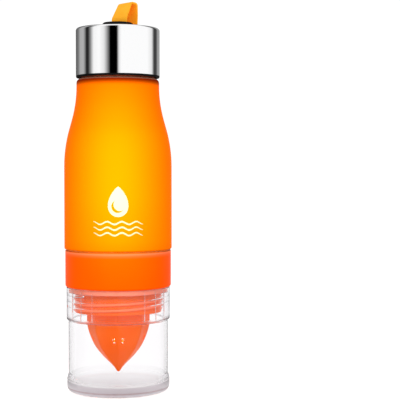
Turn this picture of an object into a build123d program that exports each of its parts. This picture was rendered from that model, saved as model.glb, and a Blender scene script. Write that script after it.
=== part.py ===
from build123d import *
import os
from math import cos, pi, radians, sin

os.makedirs("parts", exist_ok=True)

# A fruit infuser bottle, in millimetres. It stands on the table at z = 0 with its axis on +Z,
# and the side with the print faces -Y. From the table up it is a clear fruit cup, an orange
# juicer in a grip collar, a frosted drinking body and a screw cap with a carrying strap.
# The three screwed joints are right handed, so each part above rises as it turns anticlockwise.

# Cuts run this far past the faces that they open
overrun = 1.0
# Edges that are only broken, not rounded
broken_edge = 0.4
# Room between a sealing lip or a loose ring and the curved wall beside it
seal_room = 0.25
# Room beside a key, an eyelet or a slot in parts that are fixed together
fixed_room = 0.1

# Screw threads: ridges of a trapezoid section
ridge_rise = 1.05
ridge_base_width = 1.6
ridge_crest_width = 0.8
ridge_root_depth = 0.3
thread_room = 0.4
thread_margin = 0.6
thread_starts = 2
wide_thread_lead = 7.6
neck_thread_lead = 7.0

# Fruit cup
cup_height = 69.6
cup_set_back = 1.25
cup_wall = 2.0
cup_floor = 5.7
cup_inner_corner = 3.0
base_flare = 1.05
base_height = 8.3
base_shoulder_height = 3.5
base_rounding = 3.4
base_shoulder_rounding = 1.2
foot_recess_margin = 7.4
foot_recess_depth = 0.8
foot_recess_slope = 1.6
gate_mark_radius = 1.3
gate_mark_height = 0.4
cup_ring_set_back = 1.4
cup_ring_height = 21.2
cup_ring_wall = 4.15
cup_lip_wall = 1.1
seal_seat_depth = 3.2
cup_ring_ease = 1.0

# Lower seal, a ring that lies on the seat inside the cup's lip
lower_seal_thickness = 3.5

# Juicer
skirt_depth = 16.7
skirt_wall = 2.0
strainer_thickness = 2.0
strainer_ring_width = 5.8
reamer_floor_gap = 6.3
reamer_wall = 1.8
reamer_ribs = 8
reamer_flute_depth_share = 0.07
reamer_tip_radius = 1.4
upper_skirt_height = 11.4
upper_skirt_wall = 2.0
bearing_ring_height = 2.5
juice_slot_width = 1.3
juice_slot_length = 3.0
juice_slot_drop_share = 0.439
juice_slot_groups = 4
juice_slot_angle = 9.6
strainer_slit_width = 1.4
strainer_slit_count = 16
strainer_slit_margin = 1.0

# Grip collar round the juicer
collar_set_back = 0.55
collar_height = 24.5
collar_wall = 2.0
collar_top_rounding = 0.8
collar_bottom_rounding = 1.3
collar_key_count = 6
collar_key_width = 3.0
snap_bead_depth = 0.3
snap_bead_width = 0.8

# Upper seal, a flat ring under the drinking body
upper_seal_thickness = 1.7
upper_seal_set_back = 1.7

# Drinking body
body_seam = 0.5
body_radius = 36.0
body_wall = 2.2
body_height = 114.0
body_bottom_rounding = 1.2
shoulder_low_drop = 46.1
shoulder_high_drop = 16.2
shoulder_step = 8.35
shoulder_low_bend = 92.0
shoulder_high_bend = 84.0
shoulder_top_rounding = 3.0
neck_step = 3.25
neck_wall = 2.2
neck_inner_bend = 1.0
lip_rounding = 0.8

# Cap: a steel shell over a threaded liner. The mouth stays a set drop below the cap's top.
liner_lift = 0.6
liner_rim_set_back = 0.1
liner_rim_height = 1.3
liner_rim_rounding = 0.5
liner_deck = 2.6
liner_top_gap = 5.0
liner_rib_count = 6
liner_rib_width = 1.4
liner_rib_height = 5.5
liner_hub_radius = 3.0
cap_overhang = 0.35
cap_height = 33.0
mouth_drop = 15.4
cap_sheet = 0.6
cap_top_rounding = 1.75
cap_seal_thickness = 1.5

# Strap, its disc and its two screws. The strap lies in one upright plane through the axis.
strap_heading = 50.0
strap_width = 13.0
strap_thickness = 1.2
strap_foot_place = 1.6
strap_foot_bend = 0.9
strap_low_bend = 4.0
strap_low_height = 7.0
strap_near_place = 8.2
strap_near_bend = 2.5
strap_near_height = 17.9
strap_crown_place = 12.9
strap_crown_bend = 2.0
strap_crown_height = 18.7
strap_far_place = 12.0
strap_far_bend = 6.0
strap_far_height = 10.0
strap_tail_place = 11.6
strap_tail_bend = 1.2
strap_tail_length = 7.0
disc_radius = 10.5
disc_height = 3.8
disc_chamfer = 1.0
screw_radius = 0.9
screw_head_radius = 1.9
screw_head_height = 1.3
screw_socket_radius = 0.7
screw_socket_depth = 0.7
screw_set_back = 4.0
screw_half_spacing = 3.4
screw_grip = 3.7
post_wall = 1.0

# Heights of the faces where the pieces meet
seal_seat = cup_height - seal_seat_depth
collar_bottom = seal_seat + lower_seal_thickness
skirt_bottom = collar_bottom - skirt_depth
collar_top = collar_bottom + collar_height
upper_seal_top = collar_top + upper_seal_thickness
body_bottom = collar_top + body_seam
body_top = body_bottom + body_height
shoulder_low = body_top - shoulder_low_drop
shoulder_high = body_top - shoulder_high_drop
liner_bottom = body_top + liner_lift
cap_top = liner_bottom + cap_height
mouth_height = cap_top - mouth_drop
cap_ceiling = cap_top - cap_sheet
liner_deck_bottom = mouth_height + cap_seal_thickness

# Radii that one piece takes from another, all from the drinking body's
collar_radius = body_radius - collar_set_back
cup_ring_radius = body_radius - cup_ring_set_back
cup_radius = cup_ring_radius - cup_set_back
base_radius = cup_radius + base_flare
foot_recess_radius = base_radius - foot_recess_margin
shoulder_radius = body_radius - shoulder_step
neck_radius = shoulder_radius - neck_step
cap_radius = shoulder_radius + cap_overhang
liner_rim_radius = cap_radius - liner_rim_set_back
upper_seal_lip_radius = body_radius - upper_seal_set_back
cup_bore = cup_radius - cup_wall
ring_bore = cup_ring_radius - cup_ring_wall
lip_bore = cup_ring_radius - cup_lip_wall
skirt_radius = ring_bore - ridge_rise - thread_room
skirt_bore = skirt_radius - skirt_wall
reamer_radius = skirt_bore - strainer_ring_width
collar_bore = collar_radius - collar_wall
bearing_radius = collar_bore - fixed_room
body_bore = body_radius - body_wall
upper_skirt_radius = body_bore - ridge_rise - thread_room
upper_skirt_bore = upper_skirt_radius - upper_skirt_wall
mouth_radius = neck_radius - neck_wall
liner_bore = neck_radius + ridge_rise + thread_room
cap_bore = cap_radius - cap_sheet


def places(corners):
    return [(radius, height) for radius, height, rounding in corners]


def roundings(corners):
    return [rounding for radius, height, rounding in corners]


# One right-handed thread ridge. It stands out of its wall, or into a bore when inward is true,
# and is sunk a little into the wall so that the two make one solid. The thread is spread over
# the height from low to high, and begins part of a pitch up where it has to pass another one.
def thread_ridge(wall_radius, lead, low, high, inward):
    pitch = lead / thread_starts
    first = low + thread_margin + ridge_base_width / 2 + (pitch / 2 if inward else 0)
    climb = high - low - 2 * thread_margin - ridge_base_width - pitch / 2
    side = -1 if inward else 1
    with BuildPart() as ridge:
        with BuildLine() as path:
            Helix(lead, climb, wall_radius, center=(0, 0, first))
        with BuildSketch(Plane(origin=path.line @ 0, x_dir=(side, 0, 0), z_dir=path.line % 0)):
            with BuildLine():
                Polyline(
                    (-ridge_root_depth, -ridge_base_width / 2),
                    (ridge_rise, -ridge_crest_width / 2),
                    (ridge_rise, ridge_crest_width / 2),
                    (-ridge_root_depth, ridge_base_width / 2),
                    close=True,
                )
            make_face()
        sweep(path=path.line, is_frenet=True)
    return ridge.part


# Fruit cup: clear, thick floored, with a threaded ring at the top

ring_bottom = cup_height - cup_ring_height
lower_thread_low = skirt_bottom
lower_thread_high = seal_seat
cup_ridge = thread_ridge(ring_bore, wide_thread_lead, lower_thread_low, lower_thread_high, True)

cup_corners = [
    (0, foot_recess_depth, 0),
    (foot_recess_radius, foot_recess_depth, 0),
    (foot_recess_radius + foot_recess_slope, 0, 0),
    (base_radius, 0, base_rounding),
    (base_radius, base_height, base_shoulder_rounding),
    (cup_radius, base_height + base_shoulder_height, base_shoulder_rounding),
    (cup_radius, ring_bottom - cup_ring_ease, broken_edge),
    (cup_ring_radius, ring_bottom, broken_edge),
    (cup_ring_radius, cup_height, broken_edge),
    (lip_bore, cup_height, 0),
    (lip_bore, seal_seat, 0),
    (ring_bore, seal_seat, broken_edge),
    (ring_bore, ring_bottom, 0),
    (cup_bore, ring_bottom - (cup_bore - ring_bore), 0),
    (cup_bore, cup_floor, cup_inner_corner),
    (0, cup_floor, 0),
]

with BuildPart() as fruit_cup:
    with BuildSketch(Plane.XZ):
        with BuildLine():
            FilletPolyline(*places(cup_corners), radius=roundings(cup_corners), close=True)
        make_face()
    revolve(axis=Axis.Z)
    with BuildSketch(Plane.XY.offset(foot_recess_depth)):
        Circle(gate_mark_radius)
    extrude(amount=-gate_mark_height)
    with PolarLocations(0, thread_starts):
        add(cup_ridge)

fruit_cup.part.label = "fruit_cup"
export_step(fruit_cup.part, "parts/fruit_cup.step")


# Lower seal: a ring on the cup's seat, which holds the juicer's bearing ring off the cup's lip

lower_seal_bore = skirt_radius + seal_room
lower_seal_radius = lip_bore - seal_room
lower_seal_corners = [
    (lower_seal_bore, seal_seat, broken_edge),
    (lower_seal_radius, seal_seat, broken_edge),
    (lower_seal_radius, collar_bottom, broken_edge),
    (lower_seal_bore, collar_bottom, broken_edge),
]

with BuildPart() as lower_seal:
    with BuildSketch(Plane.XZ):
        with BuildLine():
            FilletPolyline(
                *places(lower_seal_corners), radius=roundings(lower_seal_corners), close=True
            )
        make_face()
    revolve(axis=Axis.Z)

lower_seal.part.label = "lower_seal"
export_step(lower_seal.part, "parts/lower_seal.step")


# Juicer: two threaded skirts with the bearing rings between them

upper_skirt_top = collar_top + upper_skirt_height
lower_bearing_top = collar_bottom + bearing_ring_height
upper_bearing_bottom = collar_top - bearing_ring_height
snap_bead_height = collar_bottom + bearing_ring_height / 2
upper_thread_low = upper_seal_top
upper_thread_high = upper_skirt_top
skirt_ridge = thread_ridge(
    skirt_radius, wide_thread_lead, lower_thread_low, lower_thread_high, False
)
upper_skirt_ridge = thread_ridge(
    upper_skirt_radius, wide_thread_lead, upper_thread_low, upper_thread_high, False
)

juicer_corners = [
    (skirt_bore, skirt_bottom, 0),
    (skirt_radius, skirt_bottom, broken_edge),
    (skirt_radius, collar_bottom, 0),
    (bearing_radius, collar_bottom, 0),
    (bearing_radius, lower_bearing_top, 0),
    (upper_skirt_radius, lower_bearing_top, 0),
    (upper_skirt_radius, upper_bearing_bottom, 0),
    (bearing_radius, upper_bearing_bottom, 0),
    (bearing_radius, collar_top, 0),
    (upper_skirt_radius, collar_top, 0),
    (upper_skirt_radius, upper_skirt_top, broken_edge),
    (upper_skirt_bore, upper_skirt_top, broken_edge),
    (upper_skirt_bore, lower_bearing_top, 0),
    (skirt_bore, lower_bearing_top - (upper_skirt_bore - skirt_bore), 0),
]

with BuildPart() as juicer:
    with BuildSketch(Plane.XZ):
        with BuildLine():
            FilletPolyline(*places(juicer_corners), radius=roundings(juicer_corners), close=True)
        make_face()
    revolve(axis=Axis.Z)
    # Notches that take the collar's keys, and the groove for its snap bead
    with BuildSketch(Plane.XY.offset(collar_bottom - overrun)):
        with PolarLocations(bearing_radius, collar_key_count):
            Rectangle(
                2 * (bearing_radius - upper_skirt_radius),
                collar_key_width + 2 * fixed_room,
            )
    extrude(amount=overrun + bearing_ring_height, mode=Mode.SUBTRACT)
    with BuildSketch(Plane.XZ):
        with Locations((bearing_radius, snap_bead_height)):
            Rectangle(2 * (snap_bead_depth + fixed_room), snap_bead_width + 2 * fixed_room)
    revolve(axis=Axis.Z, mode=Mode.SUBTRACT)
    with PolarLocations(0, thread_starts):
        add(skirt_ridge)
        add(upper_skirt_ridge)

juicer.part.label = "juicer"
export_step(juicer.part, "parts/juicer.step")


# Reamer: a strainer plate, welded into the juicer's lower skirt, with the ribbed cone under it

strainer_top = skirt_bottom + strainer_thickness
reamer_tip = cup_floor + reamer_floor_gap
reamer_length = skirt_bottom - reamer_tip

# The reamer's outline: shares of its length below the strainer, and of its radius there
reamer_shares = [
    (0.0, 1.0),
    (0.184, 0.993),
    (0.313, 0.948),
    (0.413, 0.882),
    (0.51, 0.8),
    (0.609, 0.69),
    (0.706, 0.54),
    (0.804, 0.362),
    (0.896, 0.182),
    (0.945, 0.105),
    (0.976, 0.064),
]
# The hollow inside it, in the same shares
reamer_hollow_shares = [(0.246, 1.0), (0.442, 0.86), (0.609, 0.6), (0.727, 0.32)]
reamer_hollow_end_share = 0.816
# Rise of a rib's crest over the flutes, at even steps from one crest to the next
rib_crest_shares = [1.0, 0.55, 0.12, 0.0, 0.12, 0.55]


# One lobed section of the reamer: crests at the full radius and shallow flutes between them
def reamer_section(radius):
    steps = len(rib_crest_shares)
    points = []
    for number in range(reamer_ribs * steps):
        angle = 2 * pi * number / (reamer_ribs * steps) - pi / 2
        sink = reamer_flute_depth_share * (1 - rib_crest_shares[number % steps])
        points.append((radius * (1 - sink) * cos(angle), radius * (1 - sink) * sin(angle)))
    return points


reamer_bore = reamer_radius * (1 - reamer_flute_depth_share) - reamer_wall

with BuildPart() as reamer:
    for drop_share, radius_share in reamer_shares:
        with BuildSketch(Plane.XY.offset(skirt_bottom - drop_share * reamer_length)):
            with BuildLine():
                Spline(*reamer_section(radius_share * reamer_radius), periodic=True)
            make_face()
    loft()
    with BuildSketch(Plane.XY.offset(skirt_bottom)):
        Circle(skirt_bore)
    extrude(amount=strainer_thickness)
    with BuildSketch(Plane.XZ):
        with BuildLine():
            tip_dome = ThreePointArc(
                (reamer_tip_radius, reamer_tip + reamer_tip_radius),
                (
                    reamer_tip_radius * sin(pi / 4),
                    reamer_tip + reamer_tip_radius * (1 - cos(pi / 4)),
                ),
                (0, reamer_tip),
            )
            Line(tip_dome @ 1, (0, reamer_tip + reamer_tip_radius))
            Line((0, reamer_tip + reamer_tip_radius), tip_dome @ 0)
        make_face()
    revolve(axis=Axis.Z)
    # The reamer's hollow, open to the bottle above
    with BuildSketch(Plane.XZ):
        with BuildLine():
            hollow = Spline(
                *[
                    (radius_share * reamer_bore, skirt_bottom - drop_share * reamer_length)
                    for drop_share, radius_share in reamer_hollow_shares
                ],
                (0, skirt_bottom - reamer_hollow_end_share * reamer_length),
                tangents=[(0, -1), (-1, 0)],
            )
            Polyline(
                hollow @ 1,
                (0, strainer_top + overrun),
                (reamer_bore, strainer_top + overrun),
                hollow @ 0,
            )
        make_face()
    revolve(axis=Axis.Z, mode=Mode.SUBTRACT)
    # Juice slots, in pairs beside every other rib
    with BuildSketch(Plane.XY.offset(skirt_bottom - juice_slot_drop_share * reamer_length)):
        for side in (-1, 1):
            with PolarLocations(
                reamer_radius / 2, juice_slot_groups, start_angle=side * juice_slot_angle - 90
            ):
                Rectangle(reamer_radius, juice_slot_width)
    extrude(amount=juice_slot_length / 2, both=True, mode=Mode.SUBTRACT)
    # Strainer slits between the reamer and the skirt
    slit_length = skirt_bore - reamer_radius - 2 * strainer_slit_margin
    with BuildSketch(Plane.XY.offset(skirt_bottom - overrun)):
        with PolarLocations(
            reamer_radius + strainer_slit_margin + slit_length / 2, strainer_slit_count
        ):
            SlotOverall(slit_length, strainer_slit_width)
    extrude(amount=strainer_thickness + 2 * overrun, mode=Mode.SUBTRACT)

reamer.part.label = "reamer"
export_step(reamer.part, "parts/reamer.step")


# Grip collar: a sleeve keyed to the juicer, which it turns

collar_corners = [
    (collar_bore, collar_bottom, 0),
    (collar_radius, collar_bottom, collar_bottom_rounding),
    (collar_radius, collar_top, collar_top_rounding),
    (collar_bore, collar_top, 0),
]
key_depth = bearing_radius - upper_skirt_radius - fixed_room

with BuildPart() as grip_collar:
    with BuildSketch(Plane.XZ):
        with BuildLine():
            FilletPolyline(*places(collar_corners), radius=roundings(collar_corners), close=True)
        make_face()
        with Locations((collar_bore, snap_bead_height)):
            Rectangle(2 * snap_bead_depth, snap_bead_width)
    revolve(axis=Axis.Z)
    with BuildSketch(Plane.XY.offset(collar_bottom)):
        with PolarLocations(collar_bore - key_depth / 2 + fixed_room, collar_key_count):
            Rectangle(key_depth, collar_key_width)
    extrude(amount=upper_bearing_bottom - collar_bottom - fixed_room)

grip_collar.part.label = "grip_collar"
export_step(grip_collar.part, "parts/grip_collar.step")


# Upper seal: a flat ring on the juicer's bearing ring

upper_seal_bore = upper_skirt_radius + seal_room
upper_seal_corners = [
    (upper_seal_bore, collar_top, 0),
    (upper_seal_lip_radius, collar_top, broken_edge / 2),
    (upper_seal_lip_radius, upper_seal_top, broken_edge / 2),
    (upper_seal_bore, upper_seal_top, 0),
]

with BuildPart() as upper_seal:
    with BuildSketch(Plane.XZ):
        with BuildLine():
            FilletPolyline(
                *places(upper_seal_corners), radius=roundings(upper_seal_corners), close=True
            )
        make_face()
    revolve(axis=Axis.Z)

upper_seal.part.label = "upper_seal"
export_step(upper_seal.part, "parts/upper_seal.step")


# Drinking body: open at both ends, with a female thread below and a male thread on the neck

neck_thread_low = liner_bottom + thread_margin
neck_thread_high = mouth_height - thread_margin
body_ridge = thread_ridge(
    body_bore, wide_thread_lead, upper_thread_low, upper_thread_high, True
)
neck_ridge = thread_ridge(neck_radius, neck_thread_lead, neck_thread_low, neck_thread_high, False)

seal_recess_radius = upper_seal_lip_radius + seal_room
body_corners = [
    (seal_recess_radius, body_bottom, 0),
    (body_radius, body_bottom, body_bottom_rounding),
    (body_radius, shoulder_low, shoulder_low_bend),
    (shoulder_radius, shoulder_high, shoulder_high_bend),
    (shoulder_radius, body_top, shoulder_top_rounding),
    (neck_radius, body_top, 0),
    (neck_radius, mouth_height, lip_rounding),
    (mouth_radius, mouth_height, lip_rounding),
    (mouth_radius, body_top - body_wall, neck_inner_bend),
    (shoulder_radius - body_wall, body_top - body_wall, neck_inner_bend),
    (shoulder_radius - body_wall, shoulder_high, shoulder_high_bend + body_wall),
    (body_bore, shoulder_low, shoulder_low_bend - body_wall),
    (body_bore, upper_seal_top, 0),
    (seal_recess_radius, upper_seal_top, 0),
]

with BuildPart() as bottle_body:
    with BuildSketch(Plane.XZ):
        with BuildLine():
            FilletPolyline(*places(body_corners), radius=roundings(body_corners), close=True)
        make_face()
    revolve(axis=Axis.Z)
    with PolarLocations(0, thread_starts):
        add(body_ridge)
        add(neck_ridge)

bottle_body.part.label = "bottle_body"
export_step(bottle_body.part, "parts/bottle_body.step")


# Cap seal: a disc between the mouth's lip and the liner's deck

with BuildPart() as cap_seal:
    with BuildSketch(Plane.XY.offset(mouth_height)):
        Circle(liner_bore - seal_room - fixed_room)
    extrude(amount=cap_seal_thickness)
    chamfer(cap_seal.edges(), broken_edge / 2)

cap_seal.part.label = "cap_seal"
export_step(cap_seal.part, "parts/cap_seal.step")


# Cap liner: a threaded bore under a ribbed deck, with a rim that shows below the steel

liner_rim_top = liner_bottom + liner_rim_height
liner_wall_top = cap_ceiling - liner_top_gap
liner_deck_top = liner_deck_bottom + liner_deck
liner_ridge = thread_ridge(liner_bore, neck_thread_lead, neck_thread_low, neck_thread_high, True)

liner_corners = [
    (liner_bore, liner_bottom, broken_edge),
    (liner_rim_radius, liner_bottom, liner_rim_rounding),
    (liner_rim_radius, liner_rim_top, 0),
    (cap_bore, liner_rim_top, 0),
    (cap_bore, liner_wall_top, broken_edge),
    (liner_bore, liner_wall_top, 0),
    (liner_bore, liner_deck_top, 0),
    (0, liner_deck_top, 0),
    (0, liner_deck_bottom, 0),
    (liner_bore, liner_deck_bottom, 0),
]

with BuildPart() as cap_liner:
    with BuildSketch(Plane.XZ):
        with BuildLine():
            FilletPolyline(*places(liner_corners), radius=roundings(liner_corners), close=True)
        make_face()
    revolve(axis=Axis.Z)
    with BuildSketch(Plane.XY.offset(liner_deck_top)):
        Circle(liner_hub_radius)
        with PolarLocations(liner_bore / 2, liner_rib_count):
            Rectangle(liner_bore + broken_edge, liner_rib_width)
    extrude(amount=liner_rib_height)
    with PolarLocations(0, thread_starts):
        add(liner_ridge)

cap_liner.part.label = "cap_liner"
export_step(cap_liner.part, "parts/cap_liner.step")


# Cap shell: drawn steel, open below, with two holes in its top for the strap's screws

strap_plane = Plane(
    origin=(0, 0, cap_top),
    x_dir=(cos(radians(strap_heading)), sin(radians(strap_heading)), 0),
    z_dir=(0, 0, 1),
)
screw_places = [(-screw_set_back, -screw_half_spacing), (-screw_set_back, screw_half_spacing)]
screw_hole_radius = screw_radius + 2 * fixed_room
shell_corners = [
    (cap_bore, liner_rim_top, 0),
    (cap_radius, liner_rim_top, 0),
    (cap_radius, cap_top, cap_top_rounding),
    (0, cap_top, 0),
    (0, cap_ceiling, 0),
    (cap_bore, cap_ceiling, cap_top_rounding - cap_sheet),
]

with BuildPart() as cap_shell:
    with BuildSketch(Plane.XZ):
        with BuildLine():
            FilletPolyline(*places(shell_corners), radius=roundings(shell_corners), close=True)
        make_face()
    revolve(axis=Axis.Z)
    with BuildSketch(strap_plane):
        with Locations(*screw_places):
            Circle(screw_hole_radius)
    extrude(amount=-cap_sheet, mode=Mode.SUBTRACT)

cap_shell.part.label = "cap_shell"
export_step(cap_shell.part, "parts/cap_shell.step")


# Strap disc: screwed down on the steel. Both ends of the strap lie in a pocket under it, one
# over the other, round its two hollow posts. One end comes up through its slot, and the other
# leaves the pocket at the disc's edge.

pocket_height = 2 * strap_thickness + 2 * fixed_room
channel_height = strap_thickness + fixed_room
pocket_half_width = strap_width / 2 + fixed_room
slot_low = strap_foot_place - strap_thickness / 2 - 3 * fixed_room
slot_high = strap_foot_place + strap_thickness / 2 + fixed_room
pocket_low = -strap_tail_length - fixed_room
post_radius = screw_radius + post_wall

with BuildPart() as strap_disc:
    with BuildSketch(strap_plane):
        Circle(disc_radius)
    extrude(amount=disc_height)
    chamfer(strap_disc.faces().sort_by(Axis.Z)[-1].edges(), disc_chamfer)
    with BuildSketch(strap_plane):
        with Locations(((pocket_low + slot_high) / 2, 0)):
            Rectangle(slot_high - pocket_low, 2 * pocket_half_width)
    extrude(amount=pocket_height, mode=Mode.SUBTRACT)
    with BuildSketch(strap_plane):
        with Locations(((slot_high + disc_radius) / 2, 0)):
            Rectangle(disc_radius - slot_high + overrun, 2 * pocket_half_width)
    extrude(amount=channel_height, mode=Mode.SUBTRACT)
    with BuildSketch(strap_plane):
        with Locations(((slot_low + slot_high) / 2, 0)):
            Rectangle(slot_high - slot_low, 2 * pocket_half_width)
    extrude(amount=disc_height + overrun, mode=Mode.SUBTRACT)
    with BuildSketch(strap_plane):
        with Locations(*screw_places):
            Circle(post_radius)
    extrude(amount=pocket_height)
    with BuildSketch(strap_plane):
        with Locations(*screw_places):
            Circle(screw_radius)
    extrude(amount=screw_grip, mode=Mode.SUBTRACT)

strap_disc.part.label = "strap_disc"
export_step(strap_disc.part, "parts/strap_disc.step")


# Strap screws: driven up through the steel into the disc's posts, with their heads inside

with BuildPart() as strap_screws:
    with BuildSketch(strap_plane.offset(-cap_sheet)):
        with Locations(*screw_places):
            Circle(screw_head_radius)
    extrude(amount=-screw_head_height)
    chamfer(strap_screws.faces().sort_by(Axis.Z)[:2].edges(), broken_edge / 2)
    with BuildSketch(strap_plane.offset(-cap_sheet - screw_head_height)):
        with Locations(*screw_places):
            RegularPolygon(screw_socket_radius, 6)
    extrude(amount=screw_socket_depth, mode=Mode.SUBTRACT)
    with BuildSketch(strap_plane.offset(-cap_sheet)):
        with Locations(*screw_places):
            Circle(screw_radius)
    extrude(amount=cap_sheet + screw_grip - fixed_room)

strap_screws.part.label = "strap_screws"
export_step(strap_screws.part, "parts/strap_screws.step")


# Strap: one flat silicone ribbon. Its path is drawn in the plane of the loop, from the end
# that lies over the other in the disc's pocket, up through the slot, round the leaning loop
# and back under the disc.

loop_plane = Plane(
    origin=(0, 0, cap_top),
    x_dir=strap_plane.x_dir,
    z_dir=strap_plane.x_dir.cross(Vector(0, 0, 1)),
)
upper_layer = 1.5 * strap_thickness + fixed_room
lower_layer = strap_thickness / 2
strap_path = [
    (-strap_tail_length, upper_layer, 0),
    (strap_foot_place, upper_layer, strap_foot_bend),
    (strap_foot_place, strap_low_height, strap_low_bend),
    (strap_near_place, strap_near_height, strap_near_bend),
    (strap_crown_place, strap_crown_height, strap_crown_bend),
    (strap_far_place, strap_far_height, strap_far_bend),
    (strap_tail_place, lower_layer, strap_tail_bend),
    (-strap_tail_length, lower_layer, 0),
]

with BuildPart() as strap:
    with BuildSketch(loop_plane):
        with BuildLine():
            FilletPolyline(*places(strap_path), radius=roundings(strap_path)[1:-1])
        trace(line_width=strap_thickness)
    extrude(amount=strap_width / 2, both=True)
    with BuildSketch(strap_plane):
        with Locations(*screw_places):
            Circle(post_radius + fixed_room)
    extrude(amount=pocket_height, mode=Mode.SUBTRACT)

strap.part.label = "strap"
export_step(strap.part, "parts/strap.step")
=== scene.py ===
from math import cos, pi, radians, sin

import bmesh
import bpy
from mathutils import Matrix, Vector


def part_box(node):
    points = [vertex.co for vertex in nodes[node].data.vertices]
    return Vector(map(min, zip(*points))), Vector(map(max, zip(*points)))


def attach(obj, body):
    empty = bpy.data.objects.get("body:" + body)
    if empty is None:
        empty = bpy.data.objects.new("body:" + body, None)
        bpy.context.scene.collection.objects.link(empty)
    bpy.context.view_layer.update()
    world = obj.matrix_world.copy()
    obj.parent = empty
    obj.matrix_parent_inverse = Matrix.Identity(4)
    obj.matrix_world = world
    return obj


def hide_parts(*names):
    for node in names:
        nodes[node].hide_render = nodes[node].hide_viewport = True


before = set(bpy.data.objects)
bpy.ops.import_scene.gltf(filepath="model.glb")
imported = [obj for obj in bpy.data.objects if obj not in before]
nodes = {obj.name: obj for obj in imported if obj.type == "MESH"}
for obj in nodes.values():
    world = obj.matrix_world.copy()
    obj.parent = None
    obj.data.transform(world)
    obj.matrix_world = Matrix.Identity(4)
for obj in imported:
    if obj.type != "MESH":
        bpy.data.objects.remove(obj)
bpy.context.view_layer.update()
scene = bpy.context.scene
mm = 0.001
print("frame loaded:", len(nodes), "nodes")


def footOf(name):
    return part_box(name)[0][2]


def topOf(name):
    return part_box(name)[1][2]


def radiusOf(name):
    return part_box(name)[1][0]


# Small tools for the node trees

def addNode(tree, kind, **settings):
    made = tree.nodes.new(kind)
    for name, value in settings.items():
        setattr(made, name, value)
    return made


def feed(tree, socket, value):
    if isinstance(value, bpy.types.NodeSocket):
        tree.links.new(value, socket)
    else:
        socket.default_value = value


def calc(tree, operation, first, second=None, third=None, clamp=False):
    made = addNode(tree, "ShaderNodeMath", operation=operation, use_clamp=clamp)
    for place, value in enumerate((first, second, third)):
        if value is not None:
            feed(tree, made.inputs[place], value)
    return made.outputs[0]


def shareBetween(tree, value, low, high):
    return calc(tree, "DIVIDE", calc(tree, "SUBTRACT", value, low), high - low, clamp=True)


def grey(value):
    return (value, value, value)


# Each stop is a place along the factor and a colour, or a number for a grey
def ramp(tree, factor, stops):
    made = addNode(tree, "ShaderNodeValToRGB")
    elements = made.color_ramp.elements
    while len(elements) < len(stops):
        elements.new(1.0)
    for element, (place, colour) in zip(elements, stops):
        element.position = place
        element.color = (*(colour if isinstance(colour, tuple) else grey(colour)), 1)
    feed(tree, made.inputs["Fac"], factor)
    return made.outputs["Color"]


# The same, with the stops at measured places such as heights
def measuredRamp(tree, value, stops):
    low, high = stops[0][0], stops[-1][0]
    shares = [((place - low) / (high - low), colour) for place, colour in stops]
    return ramp(tree, shareBetween(tree, value, low, high), shares)


def blendColours(tree, factor, first, second):
    made = addNode(tree, "ShaderNodeMix", data_type="RGBA")
    feed(tree, made.inputs["Factor"], factor)
    colourInputs = [s for s in made.inputs if s.type == "RGBA"]
    for socket, value in zip(colourInputs, (first, second)):
        if not isinstance(value, bpy.types.NodeSocket):
            value = (*value, 1)
        feed(tree, socket, value)
    return next(s for s in made.outputs if s.type == "RGBA")


def chooseShader(tree, factor, first, second):
    made = addNode(tree, "ShaderNodeMixShader")
    for socket, value in zip(made.inputs, (factor, first, second)):
        tree.links.new(value, socket)
    return made.outputs[0]


def objectPlace(tree):
    return addNode(tree, "ShaderNodeTexCoord").outputs["Object"]


def partsOf(tree, place):
    made = addNode(tree, "ShaderNodeSeparateXYZ")
    feed(tree, made.inputs[0], place)
    return made.outputs


# How far apart two places are, from their steps along and across
def lengthOf(tree, along, across):
    step = addNode(tree, "ShaderNodeCombineXYZ")
    feed(tree, step.inputs["X"], along)
    feed(tree, step.inputs["Y"], across)
    made = addNode(tree, "ShaderNodeVectorMath", operation="LENGTH")
    feed(tree, made.inputs[0], step.outputs[0])
    return made.outputs["Value"]


# Bearing from the front, towards the right
def bearingOf(tree, parts):
    return calc(tree, "ARCTAN2", parts["X"], calc(tree, "MULTIPLY", parts["Y"], -1.0))


def noise(tree, scale, detail):
    made = addNode(tree, "ShaderNodeTexNoise")
    feed(tree, made.inputs["Vector"], objectPlace(tree))
    made.inputs["Scale"].default_value = scale
    made.inputs["Detail"].default_value = detail
    return made.outputs["Fac"]


# A colour that drifts between a deep and a light one
def cloudy(tree, scale, detail, deep, light, deepUpTo=0.3, lightFrom=0.7):
    return ramp(tree, noise(tree, scale, detail), [(deepUpTo, deep), (lightFrom, light)])


def addGrain(tree, shader, scale, detail, strength, lift):
    made = addNode(tree, "ShaderNodeBump")
    made.inputs["Strength"].default_value = strength
    made.inputs["Distance"].default_value = lift
    feed(tree, made.inputs["Height"], noise(tree, scale, detail))
    tree.links.new(made.outputs["Normal"], shader.inputs["Normal"])


def newFinish(name, values):
    finish = bpy.data.materials.new(name)
    finish.use_nodes = True
    tree = finish.node_tree
    shader = tree.nodes["Principled BSDF"]
    for socket, value in values.items():
        shader.inputs[socket].default_value = value
    return finish, tree, shader


# Camera: the photograph's own place and angle, fitted to the rings that it shows

camera = {
    "place": (0, -0.78, 0.14985),
    "turnRight": 4.049,
    "tiltDown": 1.63,
    "lens": 104.13,
    "sensor": 36.0,
}


def addCamera():
    data = bpy.data.cameras.new("photoCamera")
    data.lens = camera["lens"]
    data.sensor_width = camera["sensor"]
    made = bpy.data.objects.new("photoCamera", data)
    made.location = camera["place"]
    made.rotation_euler = (radians(90 - camera["tiltDown"]), 0, -radians(camera["turnRight"]))
    scene.collection.objects.link(made)
    scene.camera = made


addCamera()
print("camera placed")


# Studio: a white room with dark cards, which the steel and the clear plastic show as bands

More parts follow.
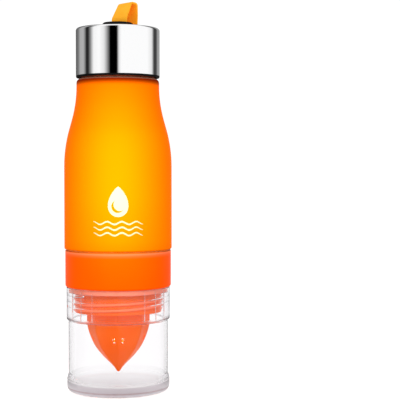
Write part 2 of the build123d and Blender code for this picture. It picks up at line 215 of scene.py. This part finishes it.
studio = {
    "brightness": 1.0,
    "paper": 1.05,  # how bright the backdrop looks
    # Where the walls turn into the white roof: the sine of the angle upwards
    "roofHeight": (0.72, 0.9),
    # Bearing of each place from the front, towards the right, and how bright it is there:
    # first as the steel reflects the room, then as the clear plastic shows it
    "bands": [
        (-180, 0.02), (-170, 0.03), (-162, 0.13), (-149, 0.14), (-137, 0.2), (-125, 0.42),
        (-109, 0.44), (-101, 0.2), (-96, 0.02), (-88, 0.02), (-80, 0.25), (-69, 0.93),
        (-52, 1.0), (-38, 0.8), (-27, 0.22), (-21, 0.0), (-2, 0.0), (3, 0.75), (9, 1.0),
        (88, 1.0), (106, 0.8), (113, 0.3), (117, 0.05), (132, 0.06), (139, 0.3), (165, 0.42),
        (180, 0.3),
    ],
    "glassBands": [
        (-180, 1.08), (-150, 1.08), (-128, 0.96), (-100, 0.72), (-70, 0.84), (0, 0.94),
        (70, 0.84), (100, 0.72), (128, 0.96), (150, 1.08), (180, 1.08),
    ],
}


def byBearing(tree, parts, bands):
    turn = calc(tree, "MULTIPLY_ADD", bearingOf(tree, parts), 1 / (2 * pi), 0.5)
    return ramp(tree, turn, [((angle + 180) / 360, light) for angle, light in bands])


# Light that has passed into the clear plastic never meets the dark cards
def insideClear(tree, path):
    passed = calc(tree, "GREATER_THAN", path["Transmission Depth"], 0.5)
    return calc(tree, "MAXIMUM", passed, path["Is Transmission Ray"])


def addStudio():
    world = bpy.data.worlds.new("studio")
    scene.world = world
    world.use_nodes = True
    tree = world.node_tree
    tree.nodes.clear()
    parts = partsOf(tree, addNode(tree, "ShaderNodeTexCoord").outputs["Generated"])
    path = addNode(tree, "ShaderNodeLightPath").outputs
    rise = shareBetween(tree, parts["Z"], *studio["roofHeight"])
    walls = blendColours(tree, rise, byBearing(tree, parts, studio["bands"]), grey(1.0))
    room = blendColours(tree, path["Is Diffuse Ray"], walls, grey(1.0))
    glass = byBearing(tree, parts, studio["glassBands"])
    light = addNode(tree, "ShaderNodeBackground")
    feed(tree, light.inputs["Color"], blendColours(tree, insideClear(tree, path), room, glass))
    light.inputs["Strength"].default_value = studio["brightness"]
    paper = addNode(tree, "ShaderNodeBackground")
    paper.inputs["Color"].default_value = (1, 1, 1, 1)
    paper.inputs["Strength"].default_value = studio["paper"]
    seen = chooseShader(tree, path["Is Camera Ray"], light.outputs[0], paper.outputs[0])
    output = addNode(tree, "ShaderNodeOutputWorld")
    tree.links.new(seen, output.inputs["Surface"])
    scene.view_settings.view_transform = "Standard"


# A narrow soft light close in front, and one close behind, make the frosted body glow along
# its middle
softLights = [
    {"name": "glowStrip", "bearing": -1.5, "height": 0.15, "away": 0.1, "size": (0.012, 0.1),
     "power": 0.128},
    {"name": "backStrip", "bearing": 177, "height": 0.15, "away": 0.1, "size": (0.012, 0.1),
     "power": 0.11},
]
# The hollow reamer is open to the bright body above, so that its slots shine
hollowLight = {"name": "hollowGlow", "overFoot": 0.026, "radius": 0.005, "power": 0.075,
               "colour": (1.0, 0.42, 0.5)}


def newLight(kind, light):
    data = bpy.data.lights.new(light["name"], kind)
    data.energy = light["power"]
    made = bpy.data.objects.new(light["name"], data)
    scene.collection.objects.link(made)
    return made, data


def addHollowLight(light):
    made, data = newLight("POINT", light)
    data.shadow_soft_size = light["radius"]
    data.color = light["colour"]
    made.location = (0, 0, footOf("reamer") + light["overFoot"])


def addSoftLight(light):
    made, data = newLight("AREA", light)
    data.shape = "RECTANGLE"
    data.size, data.size_y = light["size"]
    angle = radians(light["bearing"])
    place = Vector((light["away"] * sin(angle), -light["away"] * cos(angle), light["height"]))
    aim = Vector((0, 0, light["height"])) - place
    made.location = place
    made.rotation_euler = aim.to_track_quat("-Z", "Y").to_euler()
    made.visible_glossy = False
    made.visible_transmission = False
    made.visible_camera = False


# The floor mirrors the room's bands, so that the steel and the clear plastic find the same
# light below them as around them, and evens out under the bottle
floor = {
    "shader": {
        "Base Color": (0.8, 0.8, 0.8, 1), "Roughness": 0.8, "Specular IOR Level": 0.1,
        "Emission Color": (1, 1, 1, 1), "Emission Strength": 0.35,
    },
    "radius": 0.8,
    "steps": 96,
    "evenRadius": 0.04,
    "bandRadius": 0.1,
    "even": grey(1.02),
}


def addFloor():
    finish, tree, shader = newFinish("paperFloor", floor["shader"])
    parts = partsOf(tree, objectPlace(tree))
    away = lengthOf(tree, parts["X"], parts["Y"])
    out = shareBetween(tree, away, floor["evenRadius"], floor["bandRadius"])
    path = addNode(tree, "ShaderNodeLightPath").outputs
    bands = blendColours(
        tree, insideClear(tree, path), byBearing(tree, parts, studio["bands"]),
        byBearing(tree, parts, studio["glassBands"]),
    )
    mirrored = addNode(tree, "ShaderNodeEmission")
    feed(tree, mirrored.inputs["Color"], blendColours(tree, out, floor["even"], bands))
    plain = calc(tree, "MAXIMUM", path["Is Camera Ray"], path["Is Diffuse Ray"])
    seen = chooseShader(tree, plain, mirrored.outputs[0], shader.outputs[0])
    tree.links.new(seen, tree.nodes["Material Output"].inputs["Surface"])
    mesh = bpy.data.meshes.new("paperFloor")
    form = bmesh.new()
    bmesh.ops.create_circle(form, cap_ends=True, radius=floor["radius"], segments=floor["steps"])
    form.to_mesh(mesh)
    form.free()
    mesh.materials.append(finish)
    made = bpy.data.objects.new("paperFloor", mesh)
    scene.collection.objects.link(made)


addStudio()
for light in softLights:
    addSoftLight(light)
addHollowLight(hollowLight)
addFloor()
print("studio lit")


# Finishes. In each, "shader" holds what is the same all over the surface, "cloud" its slow drift
# of colour and "grain" its fine unevenness.

clearTint = (0.99, 0.985, 0.99)
clearPlastic = {
    "shader": {"IOR": 1.25, "Transmission Weight": 1.0, "Emission Strength": 0.014},
    # Height over the foot and colour: the foot's edge and the step above it carry two thin
    # painted reddish lines, painted shade standing in for how these edges bend the light
    "tintAndPaintedLines": [
        (0.0, clearTint), (0.0001, (0.7, 0.62, 0.6)), (0.0007, (0.7, 0.62, 0.6)),
        (0.0009, clearTint), (0.0021, clearTint), (0.0024, (0.66, 0.5, 0.5)),
        (0.0031, (0.66, 0.5, 0.5)), (0.0034, clearTint),
    ],
    # Height and share of a painted glow in the thick threaded ring, standing in for light
    # scattered there; it pales what stands behind it
    "paintedRingGlow": [(0.045, 0.0), (0.049, 1.0)],
    # Height and roughness: the foot's outside and the ring's lower edge are a little matt
    "matt": [
        (0.0, 0.3), (0.0079, 0.3), (0.0085, 0.0), (0.0478, 0.0), (0.0482, 0.3), (0.0494, 0.3),
        (0.05, 0.0),
    ],
    # What the thick places swallow: the walls' edges and the heavy floor turn grey
    "depthColour": (0.34, 0.22, 0.31, 1),
    "depth": 11.0,
    "grain": {"scale": 55, "detail": 1.5, "strength": 0.25, "lift": 0.00002},
}


def clearPlasticFinish():
    finish, tree, shader = newFinish("clearPlastic", clearPlastic["shader"])
    height = partsOf(tree, objectPlace(tree))["Z"]
    for socket, stops in (("Base Color", "tintAndPaintedLines"), ("Emission Color", "paintedRingGlow"),
                          ("Roughness", "matt")):
        feed(tree, shader.inputs[socket], measuredRamp(tree, height, clearPlastic[stops]))
    addGrain(tree, shader, **clearPlastic["grain"])
    thick = addNode(tree, "ShaderNodeVolumeAbsorption")
    thick.inputs["Color"].default_value = clearPlastic["depthColour"]
    thick.inputs["Density"].default_value = clearPlastic["depth"]
    tree.links.new(thick.outputs[0], tree.nodes["Material Output"].inputs["Volume"])
    return finish


milkySilicone = {
    "shader": {"Roughness": 0.42, "Specular IOR Level": 0.25, "Emission Strength": 0.4},
    "cloud": {"scale": 160, "detail": 3, "deep": (1.0, 0.22, 0.12), "light": (1.0, 0.25, 0.14)},
    # Where it shows in the gap under the body it is painted darker, as painted shade, and given
    # a painted orange glow for the light of the walls beside it
    "seamShadeAndGlow": (0.7, 0.13, 0.0),
}


def milkySiliconeFinish():
    finish, tree, shader = newFinish("milkySilicone", milkySilicone["shader"])
    # Every seal but the lower one lies higher than this
    aboveLower = (topOf("lower_seal") + footOf("upper_seal")) / 2
    inSeam = calc(tree, "GREATER_THAN", partsOf(tree, objectPlace(tree))["Z"], aboveLower)
    for socket, colour in (("Base Color", cloudy(tree, **milkySilicone["cloud"])),
                           ("Emission Color", grey(0.0))):
        feed(tree, shader.inputs[socket],
             blendColours(tree, inSeam, colour, milkySilicone["seamShadeAndGlow"]))
    return finish


juicerPlastic = {
    "shader": {
        "Roughness": 0.3, "Specular IOR Level": 0.04,
        # A painted glow, standing in for light that comes through its thin walls
        "Emission Color": (1.0, 0.03, 0.0, 1), "Emission Strength": 0.11,
    },
    "cloud": {"scale": 45, "detail": 2, "deep": (1.0, 0.132, 0.004), "light": (1.0, 0.162, 0.008)},
    # The lower skirt's outside: distance from the axis, and the colour there, with a painted
    # highlight on the flanks of its thread. It ends a little under the seal.
    "skirtGap": 0.0004,
    "skirt": [
        (0.0287, (0.96, 0.132, 0.004)), (0.02905, (0.96, 0.132, 0.004)),
        (0.0292, (1.0, 0.31, 0.18)), (0.0299, (1.0, 0.31, 0.18)), (0.03, (1.0, 0.2, 0.08)),
    ],
    "grain": {"scale": 900, "detail": 2, "strength": 0.08, "lift": 0.0001},
}


def juicerFinish():
    finish, tree, shader = newFinish("juicerOrange", juicerPlastic["shader"])
    parts = partsOf(tree, objectPlace(tree))
    away = lengthOf(tree, parts["X"], parts["Y"])
    onSkirt = calc(
        tree, "MULTIPLY", calc(tree, "GREATER_THAN", away, juicerPlastic["skirt"][0][0]),
        calc(tree, "LESS_THAN", parts["Z"], footOf("lower_seal") - juicerPlastic["skirtGap"]),
    )
    feed(tree, shader.inputs["Base Color"], blendColours(
        tree, onSkirt, cloudy(tree, **juicerPlastic["cloud"]),
        measuredRamp(tree, away, juicerPlastic["skirt"]),
    ))
    addGrain(tree, shader, **juicerPlastic["grain"])
    return finish


collarPlastic = {
    "shader": {
        "Roughness": 0.42, "Specular IOR Level": 0.0, "Sheen Weight": 0.28,
        "Sheen Roughness": 0.25,
    },
    "cloud": {"scale": 38, "detail": 2, "deep": (0.98, 0.077, 0.0), "light": (1.0, 0.084, 0.0)},
    # A painted highlight along its upper edge: the colour, and the height from its top and share
    # of it there
    "edge": (1.0, 0.16, 0.058),
    "edgeHighlightFade": [(-0.0038, 0.0), (-0.0026, 0.2), (-0.0018, 0.5), (-0.001, 1.0)],
    # Its rounded brim, in the shade of the body
    "shade": (0.6, 0.11, 0.004),
    "shadeHeight": (-0.0008, -0.0005),
    "grain": {"scale": 1500, "detail": 3, "strength": 0.12, "lift": 0.0001},
}


def collarFinish():
    finish, tree, shader = newFinish("collarOrange", collarPlastic["shader"])
    height = calc(tree, "SUBTRACT", partsOf(tree, objectPlace(tree))["Z"], topOf("grip_collar"))
    colour = blendColours(
        tree, measuredRamp(tree, height, collarPlastic["edgeHighlightFade"]),
        cloudy(tree, **collarPlastic["cloud"]), collarPlastic["edge"],
    )
    brim = shareBetween(tree, height, *collarPlastic["shadeHeight"])
    feed(tree, shader.inputs["Base Color"],
         blendColours(tree, brim, colour, collarPlastic["shade"]))
    addGrain(tree, shader, **collarPlastic["grain"])
    return finish


# Frosted body: colour by height, with painted shade at its foot and under the cap, a painted
# highlight line under the cap's rim, and a cream print of a drop over three waves on the front
frostedBody = {
    "shader": {
        "Roughness": 0.46, "Specular IOR Level": 0.0, "Sheen Weight": 0.14,
        "Sheen Roughness": 0.2,
    },
    # The shoulder's rim lies this far under the black one of the cap
    "rimGap": 0.0006,
    # Share of the height from the body's foot to that rim, and the colour there: painted shade
    # along the foot's gap, an orange that deepens slowly towards the shoulder, painted shadow of
    # the cap from 0.95 up, and a pale painted highlight line just under the rim
    "colours": [
        (0.0, (0.62, 0.12, 0.0)), (0.004, (0.62, 0.12, 0.0)), (0.009, (1.0, 0.15, 0.0)),
        (0.06, (1.0, 0.17, 0.0)), (0.3, (1.0, 0.175, 0.0)), (0.5, (1.0, 0.168, 0.0)),
        (0.66, (1.0, 0.175, 0.0)), (0.8, (1.0, 0.165, 0.0)), (0.92, (1.0, 0.145, 0.0)),
        (0.95, (1.0, 0.135, 0.0)), (0.958, (0.84, 0.115, 0.0)), (0.963, (0.64, 0.09, 0.0)),
        (0.968, (0.47, 0.066, 0.0)), (0.973, (0.34, 0.042, 0.0)), (0.978, (0.26, 0.026, 0.0)),
        (0.984, (0.2, 0.014, 0.0)), (0.989, (0.2, 0.016, 0.003)), (0.993, (0.38, 0.14, 0.08)),
        (1.0, (0.42, 0.2, 0.13)),
    ],
    # The neck over the rim: where it starts, how high its foot is, and the colour by share of
    # that, with painted shade of the cap at its foot
    "neckStart": 0.00004,
    "neckFoot": 0.008,
    "neckColours": [(0.32, (0.2, 0.035, 0.012)), (0.6, (1.0, 0.14, 0.0))],
    "print": (0.62, 0.46, 0.27),
    "grain": {"scale": 2600, "detail": 2, "strength": 0.2, "lift": 0.00012},
}
# The print's heights count from the body's foot
printed = {
    "dropBottom": 0.0229,
    "dropHeight": 0.0196,
    "dropHalfWidth": 0.0066,
    "dropPowers": (0.5, 0.85),  # how fast it swells from its foot, and from its tip
    "glintRadius": 0.0042,
    "glintPlace": (-0.0002, 0.0297),
    "glintShift": (0.0014, 0.0012),
    "waveHeights": (0.019, 0.0154, 0.0118),
    "waveHalfLength": 0.0165,
    "waveLength": 0.0095,
    "waveSwing": 0.0009,
    "waveHalfLine": 0.00055,
    "waveEndPower": 0.35,  # how fast the lines thin out towards their ends
}


def inCircle(tree, across, height, place, radius):
    away = lengthOf(tree, calc(tree, "SUBTRACT", across, place[0]),
                    calc(tree, "SUBTRACT", height, place[1]))
    return calc(tree, "LESS_THAN", away, radius)


def printMask(tree, parts):
    across = calc(tree, "MULTIPLY", bearingOf(tree, parts), radiusOf("bottle_body"))
    height = calc(tree, "SUBTRACT", parts["Z"], footOf("bottle_body"))
    beside = calc(tree, "ABSOLUTE", across)
    # The drop's half width at a share of its height
    foot = printed["dropBottom"]
    share = shareBetween(tree, height, foot, foot + printed["dropHeight"])
    footPower, tipPower = printed["dropPowers"]
    swell = calc(tree, "MULTIPLY", calc(tree, "POWER", share, footPower), calc(
        tree, "POWER", calc(tree, "SUBTRACT", 1.0, share), tipPower))
    fullest = footPower / (footPower + tipPower)
    widest = fullest ** footPower * (1 - fullest) ** tipPower
    width = calc(tree, "MULTIPLY", swell, printed["dropHalfWidth"] / widest)
    drop = calc(tree, "LESS_THAN", beside, width)
    # The crescent left out of it is one circle less another
    glint = inCircle(tree, across, height, printed["glintPlace"], printed["glintRadius"])
    shifted = [a + b for a, b in zip(printed["glintPlace"], printed["glintShift"])]
    cover = inCircle(tree, across, height, shifted, printed["glintRadius"])
    crescent = calc(tree, "SUBTRACT", glint, cover, clamp=True)
    mask = calc(tree, "SUBTRACT", drop, crescent, clamp=True)
    end = calc(tree, "DIVIDE", across, printed["waveHalfLength"])
    room = calc(tree, "SUBTRACT", 1.0, calc(tree, "MULTIPLY", end, end), clamp=True)
    line = calc(tree, "MULTIPLY", calc(tree, "POWER", room, printed["waveEndPower"]),
                printed["waveHalfLine"])
    swing = calc(tree, "MULTIPLY", calc(
        tree, "SINE", calc(tree, "MULTIPLY", across, 2 * pi / printed["waveLength"])
    ), printed["waveSwing"])
    inside = calc(tree, "LESS_THAN", beside, printed["waveHalfLength"])
    for level in printed["waveHeights"]:
        off = calc(tree, "SUBTRACT", calc(tree, "SUBTRACT", height, level), swing)
        wave = calc(tree, "LESS_THAN", calc(tree, "ABSOLUTE", off), line)
        mask = calc(tree, "MAXIMUM", mask, calc(tree, "MULTIPLY", wave, inside))
    return mask


def frostedFinish():
    finish, tree, shader = newFinish("frostedOrange", frostedBody["shader"])
    parts = partsOf(tree, objectPlace(tree))
    rim = footOf("cap_liner") - frostedBody["rimGap"]
    share = shareBetween(tree, parts["Z"], footOf("bottle_body"), rim)
    neckShare = shareBetween(tree, parts["Z"], rim, rim + frostedBody["neckFoot"])
    onNeck = calc(tree, "GREATER_THAN", parts["Z"], rim + frostedBody["neckStart"])
    plain = blendColours(
        tree, onNeck, ramp(tree, share, frostedBody["colours"]),
        ramp(tree, neckShare, frostedBody["neckColours"]),
    )
    feed(tree, shader.inputs["Base Color"],
         blendColours(tree, printMask(tree, parts), plain, frostedBody["print"]))
    addGrain(tree, shader, **frostedBody["grain"])
    return finish


blackPlastic = {
    "shader": {"Roughness": 0.5, "Specular IOR Level": 0.08},
    "cloud": {
        "scale": 1400, "detail": 3, "deep": (0.001, 0.001, 0.001),
        "light": (0.004, 0.0035, 0.0035), "deepUpTo": 0.35,
    },
    "grain": {"scale": 1400, "detail": 3, "strength": 0.15, "lift": 0.00008},
}
mirrorSteel = {
    "shader": {"Base Color": (0.97, 0.97, 0.975, 1), "Metallic": 1.0, "Roughness": 0.045},
    "grain": {"scale": 22, "detail": 1, "strength": 0.3, "lift": 0.00003},
}
strapSilicone = {
    "shader": {
        "Roughness": 0.55, "Specular IOR Level": 0.06,
        # A painted glow, standing in for light that comes through the thin ribbon
        "Emission Color": (1.0, 0.12, 0.0, 1), "Emission Strength": 0.22,
    },
    "cloud": {"scale": 120, "detail": 2, "deep": (0.87, 0.44, 0.018), "light": (0.9, 0.5, 0.03)},
    "grain": {"scale": 2200, "detail": 2, "strength": 0.12, "lift": 0.0001},
}
screwSteel = {
    "shader": {"Base Color": (0.55, 0.55, 0.57, 1), "Metallic": 1.0, "Roughness": 0.32},
    "grain": {"scale": 1800, "detail": 2, "strength": 0.2, "lift": 0.00005},
}


def evenFinish(name, values):
    finish, tree, shader = newFinish(name, values["shader"])
    if "cloud" in values:
        feed(tree, shader.inputs["Base Color"], cloudy(tree, **values["cloud"]))
    addGrain(tree, shader, **values["grain"])
    return finish


finishes = {
    "fruit_cup": clearPlasticFinish(),
    "lower_seal": milkySiliconeFinish(),
    "reamer": juicerFinish(),
    "grip_collar": collarFinish(),
    "bottle_body": frostedFinish(),
    "cap_liner": evenFinish("blackPlastic", blackPlastic),
    "cap_shell": evenFinish("mirrorSteel", mirrorSteel),
    "strap": evenFinish("strapSilicone", strapSilicone),
    "strap_screws": evenFinish("screwSteel", screwSteel),
}
finishes["juicer"] = finishes["reamer"]
finishes["upper_seal"] = finishes["cap_seal"] = finishes["lower_seal"]
finishes["strap_disc"] = finishes["cap_liner"]
print("finishes made:", len(finishes))


# Carried-over CAD nodes take their finishes

for name, finish in finishes.items():
    slots = nodes[name].data.materials
    slots.clear()
    slots.append(finish)
# The clear cup lets the light through to what it holds
nodes["fruit_cup"].visible_shadow = False


# Tools for the pieces that Geometry Nodes make

def newTree(name, sizes, counts):
    tree = bpy.data.node_groups.new(name, "GeometryNodeTree")
    sockets = [("Geometry", "Geometry")]
    sockets += [(size, "Float") for size in sizes]
    sockets += [(count, "Int") for count in counts]
    sockets.append(("Finish", "Material"))
    for title, kind in sockets:
        tree.interface.new_socket(title, in_out="INPUT", socket_type="NodeSocket" + kind)
    tree.interface.new_socket("Geometry", in_out="OUTPUT", socket_type="NodeSocketGeometry")
    return tree, addNode(tree, "NodeGroupInput").outputs


def sweep(tree, line, section):
    skin = addNode(tree, "GeometryNodeCurveToMesh")
    skin.inputs["Fill Caps"].default_value = True
    feed(tree, skin.inputs["Curve"], line)
    feed(tree, skin.inputs["Profile Curve"], section)
    return skin.outputs["Mesh"]


def endTree(tree, geometry, finish):
    for kind in ("RealizeInstances", "SetShadeSmooth", "SetMaterial"):
        step = addNode(tree, "GeometryNode" + kind)
        feed(tree, step.inputs["Geometry"], geometry)
        geometry = step.outputs["Geometry"]
    feed(tree, step.inputs["Material"], finish)
    feed(tree, addNode(tree, "NodeGroupOutput").inputs["Geometry"], geometry)


# Runs the tree on the mesh and keeps what it makes as a plain mesh
def builtObject(name, mesh, tree, values):
    made = bpy.data.objects.new(name, mesh)
    scene.collection.objects.link(made)
    modifier = made.modifiers.new(tree.name, "NODES")
    modifier.node_group = tree
    for item in tree.interface.items_tree:
        if item.in_out == "INPUT" and item.name in values:
            modifier[item.identifier] = values[item.name]
    graph = bpy.context.evaluated_depsgraph_get()
    built = bpy.data.meshes.new_from_object(made.evaluated_get(graph))
    built.name = name
    made.modifiers.clear()
    made.data = built
    return made


# Strap: a ribbon with rounded edges along its path, from the end that lies over the other in
# the disc's pocket, up through the slot, round the leaning loop and back under the disc

strap = {
    "heading": 50,
    "width": 13.0 * mm,
    "thickness": 1.2 * mm,
    "edge": 0.5 * mm,
    "edgeSteps": 5,
    "bendSteps": 14,
    # Corners of the path: distance along the heading, shift to the right of it, height over the
    # cap, bend, and how far the ribbon is turned about its own line there, in degrees
    "corners": [
        (-7.0, 0, 1.9, 0, 0), (1.6, 0, 1.9, 0.9, 0), (1.6, 0, 7.0, 4.0, -1),
        (8.0, 0, 17.9, 2.2, -7), (12.8, 1.0, 17.2, 1.3, -8), (12.2, 0.5, 10.0, 6.0, -19),
        (11.8, 0, 0.6, 1.2, -23), (-7.0, 0, 0.6, 0, -23),
    ],
}


def cornerValue(tree, name):
    made = addNode(tree, "GeometryNodeInputNamedAttribute", data_type="FLOAT")
    made.inputs["Name"].default_value = name
    return made.outputs["Attribute"]


def rounded(tree, line, radius, steps):
    made = addNode(tree, "GeometryNodeFilletCurve", mode="POLY")
    made.inputs["Limit Radius"].default_value = True
    feed(tree, made.inputs["Curve"], line)
    feed(tree, made.inputs["Radius"], radius)
    feed(tree, made.inputs["Count"], steps)
    return made.outputs["Curve"]


def ribbonTree():
    tree, given = newTree("ribbon", ("Width", "Thickness", "Edge"), ("Edge Steps", "Bend Steps"))
    line = addNode(tree, "GeometryNodeMeshToCurve")
    feed(tree, line.inputs["Mesh"], given["Geometry"])
    turned = addNode(tree, "GeometryNodeSetCurveTilt")
    feed(tree, turned.inputs["Curve"], line.outputs["Curve"])
    feed(tree, turned.inputs["Tilt"], cornerValue(tree, "lean"))
    path = rounded(tree, turned.outputs["Curve"], cornerValue(tree, "bend"), given["Bend Steps"])
    section = addNode(tree, "GeometryNodeCurvePrimitiveQuadrilateral", mode="RECTANGLE")
    feed(tree, section.inputs["Width"], given["Width"])
    feed(tree, section.inputs["Height"], given["Thickness"])
    eased = rounded(tree, section.outputs["Curve"], given["Edge"], given["Edge Steps"])
    endTree(tree, sweep(tree, path, eased), given["Finish"])
    return tree


def addStrap():
    angle = radians(strap["heading"])
    places = [
        (
            (along * cos(angle) + aside * sin(angle)) * mm,
            (along * sin(angle) - aside * cos(angle)) * mm,
            topOf("cap_shell") + height * mm,
        )
        for along, aside, height, bend, lean in strap["corners"]
    ]
    mesh = bpy.data.meshes.new("strapLoop")
    mesh.from_pydata(places, [(i, i + 1) for i in range(len(places) - 1)], [])
    bends = mesh.attributes.new("bend", "FLOAT", "POINT")
    bends.data.foreach_set("value", [bend * mm for *_, bend, lean in strap["corners"]])
    leans = mesh.attributes.new("lean", "FLOAT", "POINT")
    leans.data.foreach_set("value", [radians(lean) for *_, lean in strap["corners"]])
    made = builtObject("strapLoop", mesh, ribbonTree(), {
        "Width": strap["width"], "Thickness": strap["thickness"], "Edge": strap["edge"],
        "Edge Steps": strap["edgeSteps"], "Bend Steps": strap["bendSteps"],
        "Finish": finishes["strap"],
    })
    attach(made, "cap")
    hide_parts("strap")


addStrap()
print("strap made")


# Ribs: thin upright beads of the clear plastic on the cup's threaded ring, in four groups

ribs = {
    "groups": 4,
    "inGroup": 3,
    "pitch": radians(15),
    "setBack": 0.1 * mm,  # from the ring's outside to the middle of a rib
    "underLip": 1.2 * mm,  # from the cup's top down to a rib's
    "length": 19.4 * mm,
    "thickness": 0.8 * mm,
    "thinning": 0.9,  # how much of the thickness goes at a rib's very ends
    "endPower": 12.0,  # how near the ends that happens
    "sides": 12,
    "steps": 20,
}


def ribTree():
    tree, given = newTree(
        "ribs", ("Ring Radius", "Foot", "Length", "Thickness", "Pitch", "Thinning", "End Power"),
        ("Groups", "In Group", "Sides", "Steps"),
    )
    # Each rib's bearing: its group's, and its own place in the group
    index = addNode(tree, "GeometryNodeInputIndex").outputs[0]
    group = calc(tree, "FLOOR", calc(tree, "DIVIDE", index, given["In Group"]))
    member = calc(tree, "SUBTRACT", index, calc(tree, "MULTIPLY", group, given["In Group"]))
    middleMember = calc(tree, "MULTIPLY_ADD", given["In Group"], 0.5, -0.5)
    aside = calc(tree, "MULTIPLY", calc(tree, "SUBTRACT", member, middleMember), given["Pitch"])
    groupTurn = calc(tree, "DIVIDE", 2 * pi, given["Groups"])
    bearing = calc(tree, "ADD", calc(
        tree, "MULTIPLY", calc(tree, "ADD", group, 0.5), groupTurn), aside)
    spot = addNode(tree, "ShaderNodeCombineXYZ")
    for axis, operation in (("X", "COSINE"), ("Y", "SINE")):
        feed(tree, spot.inputs[axis], calc(
            tree, "MULTIPLY", calc(tree, operation, bearing), given["Ring Radius"]))
    feed(tree, spot.inputs["Z"], given["Foot"])
    points = addNode(tree, "GeometryNodePoints")
    feed(tree, points.inputs["Count"], calc(
        tree, "MULTIPLY", given["Groups"], given["In Group"]))
    feed(tree, points.inputs["Position"], spot.outputs[0])
    tip = addNode(tree, "ShaderNodeCombineXYZ")
    feed(tree, tip.inputs["Z"], given["Length"])
    line = addNode(tree, "GeometryNodeCurvePrimitiveLine")
    feed(tree, line.inputs["End"], tip.outputs[0])
    parted = addNode(tree, "GeometryNodeResampleCurve")
    feed(tree, parted.inputs["Curve"], line.outputs[0])
    feed(tree, parted.inputs["Count"], given["Steps"])
    # Each rib runs out softly at both ends
    along = addNode(tree, "GeometryNodeSplineParameter").outputs["Factor"]
    fromMiddle = calc(tree, "ABSOLUTE", calc(tree, "MULTIPLY_ADD", along, 2.0, -1.0))
    lost = calc(tree, "MULTIPLY", calc(
        tree, "POWER", fromMiddle, given["End Power"]), given["Thinning"])
    tapered = addNode(tree, "GeometryNodeSetCurveRadius")
    feed(tree, tapered.inputs["Curve"], parted.outputs[0])
    feed(tree, tapered.inputs["Radius"], calc(tree, "SUBTRACT", 1.0, lost))
    section = addNode(tree, "GeometryNodeCurvePrimitiveCircle")
    feed(tree, section.inputs["Resolution"], given["Sides"])
    feed(tree, section.inputs["Radius"], calc(tree, "MULTIPLY", given["Thickness"], 0.5))
    placed = addNode(tree, "GeometryNodeInstanceOnPoints")
    feed(tree, placed.inputs["Points"], points.outputs[0])
    feed(tree, placed.inputs["Instance"],
         sweep(tree, tapered.outputs[0], section.outputs["Curve"]))
    endTree(tree, placed.outputs["Instances"], given["Finish"])
    return tree


def addRibs():
    made = builtObject("ringRibs", bpy.data.meshes.new("ringRibs"), ribTree(), {
        "Ring Radius": radiusOf("fruit_cup") - ribs["setBack"],
        "Foot": topOf("fruit_cup") - ribs["underLip"] - ribs["length"],
        "Length": ribs["length"], "Thickness": ribs["thickness"], "Pitch": ribs["pitch"],
        "Thinning": ribs["thinning"], "End Power": ribs["endPower"],
        "Groups": ribs["groups"], "In Group": ribs["inGroup"], "Sides": ribs["sides"],
        "Steps": ribs["steps"], "Finish": finishes["fruit_cup"],
    })
    made.visible_shadow = False
    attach(made, "cup")


addRibs()
print("ribs made:", ribs["groups"] * ribs["inGroup"])
